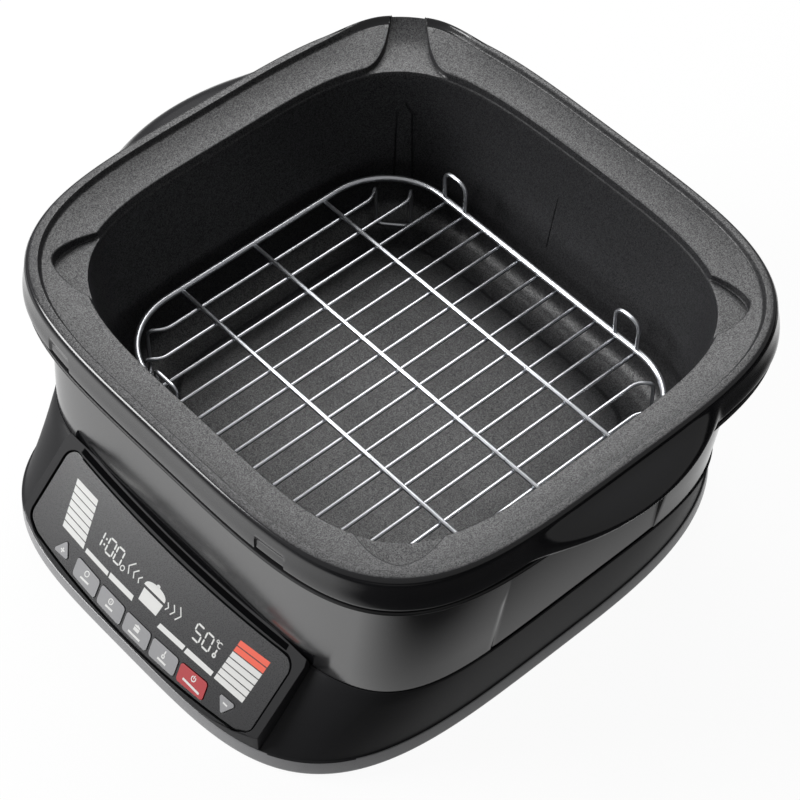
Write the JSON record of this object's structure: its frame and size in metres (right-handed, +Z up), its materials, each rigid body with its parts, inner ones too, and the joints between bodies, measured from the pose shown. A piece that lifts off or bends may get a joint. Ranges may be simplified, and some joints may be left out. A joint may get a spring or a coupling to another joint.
{
  "type": "multicooker",
  "caption": "Countertop multicooker with a square speckled pot, chrome wire rack, gloss black casing and a sloped key console.",
  "frame": {"origin": "centre of the footprint on the table, under the feet", "axes": "+Z up, the key console faces -Y, and the power and minus keys are at the +X end of the console"},
  "size_m": [0.352, 0.35, 0.156],
  "materials": {
    "satin_black_plastic": "satin moulded plastic",
    "gloss_black_plastic": "high gloss moulded plastic",
    "panel_gloss": "gloss printed panel",
    "key_grey": "satin key cap",
    "key_red": "satin key cap",
    "coated_casting": "speckled non-stick coating on cast aluminium",
    "rack_chrome": "bright plated wire",
    "sheet_steel": "bare sheet",
    "plate_aluminium": "cast, bare",
    "screw_steel": "plated",
    "pin_brass": "plated",
    "foot_rubber": "matte",
    "board_green": "solder mask",
    "post_ceramic": "unglazed ceramic look"
  },
  "bodies": {
    "base": {"base_housing": "satin_black_plastic", "bottom_cover": "satin_black_plastic", "rubber_feet": "foot_rubber", "cover_screws": "screw_steel", "console_housing": "satin_black_plastic", "panel_plate": "panel_gloss", "control_board": "board_green", "key_switches": "satin_black_plastic", "display_block": "panel_gloss", "power_board": "board_green", "mains_inlet": "satin_black_plastic", "inlet_pins": "pin_brass", "outer_casing": "gloss_black_plastic", "trim_ring": "satin_black_plastic", "heat_shield": "sheet_steel", "reflector_pan": "sheet_steel", "plate_posts": "post_ceramic", "heating_plate": "plate_aluminium", "heating_element": "screw_steel", "temp_sensor": "plate_aluminium", "thermal_fuse": "post_ceramic"},
    "pot": {"pot": "coated_casting"},
    "rack": {"rack_ring": "rack_chrome", "rack_supports": "rack_chrome", "rack_rods": "rack_chrome", "rack_leg_right": "rack_chrome", "rack_leg_left": "rack_chrome", "rack_loops": "rack_chrome"},
    "key_plus": {"key_plus": "key_grey"},
    "key_minus": {"key_minus": "key_grey"},
    "key_1": {"key_1": "key_grey"},
    "key_2": {"key_2": "key_grey"},
    "key_3": {"key_3": "key_grey"},
    "key_4": {"key_4": "key_grey"},
    "key_power": {"key_power": "key_red"}
  },
  "joints": [
    {"name": "pot_lift", "type": "slide", "parent": "base", "child": "pot", "axis": [0, 0, 1], "range_m": [0, 0.2]},
    {"name": "rack_lift", "type": "slide", "parent": "pot", "child": "rack", "axis": [0, 0, 1], "range_m": [0, 0.15]},
    {"name": "key_plus_press", "type": "slide", "parent": "base", "child": "key_plus", "axis": [0, 0.7071, -0.7071], "range_m": [0, 0.0006], "stiffness_N_per_m": 800},
    {"name": "key_minus_press", "type": "slide", "parent": "base", "child": "key_minus", "axis": [0, 0.7071, -0.7071], "range_m": [0, 0.0006], "stiffness_N_per_m": 800},
    {"name": "key_1_press", "type": "slide", "parent": "base", "child": "key_1", "axis": [0, 0.7071, -0.7071], "range_m": [0, 0.0006], "stiffness_N_per_m": 800},
    {"name": "key_2_press", "type": "slide", "parent": "base", "child": "key_2", "axis": [0, 0.7071, -0.7071], "range_m": [0, 0.0006], "stiffness_N_per_m": 800},
    {"name": "key_3_press", "type": "slide", "parent": "base", "child": "key_3", "axis": [0, 0.7071, -0.7071], "range_m": [0, 0.0006], "stiffness_N_per_m": 800},
    {"name": "key_4_press", "type": "slide", "parent": "base", "child": "key_4", "axis": [0, 0.7071, -0.7071], "range_m": [0, 0.0006], "stiffness_N_per_m": 800},
    {"name": "key_power_press", "type": "slide", "parent": "base", "child": "key_power", "axis": [0, 0.7071, -0.7071], "range_m": [0, 0.0006], "stiffness_N_per_m": 800}
  ]
}
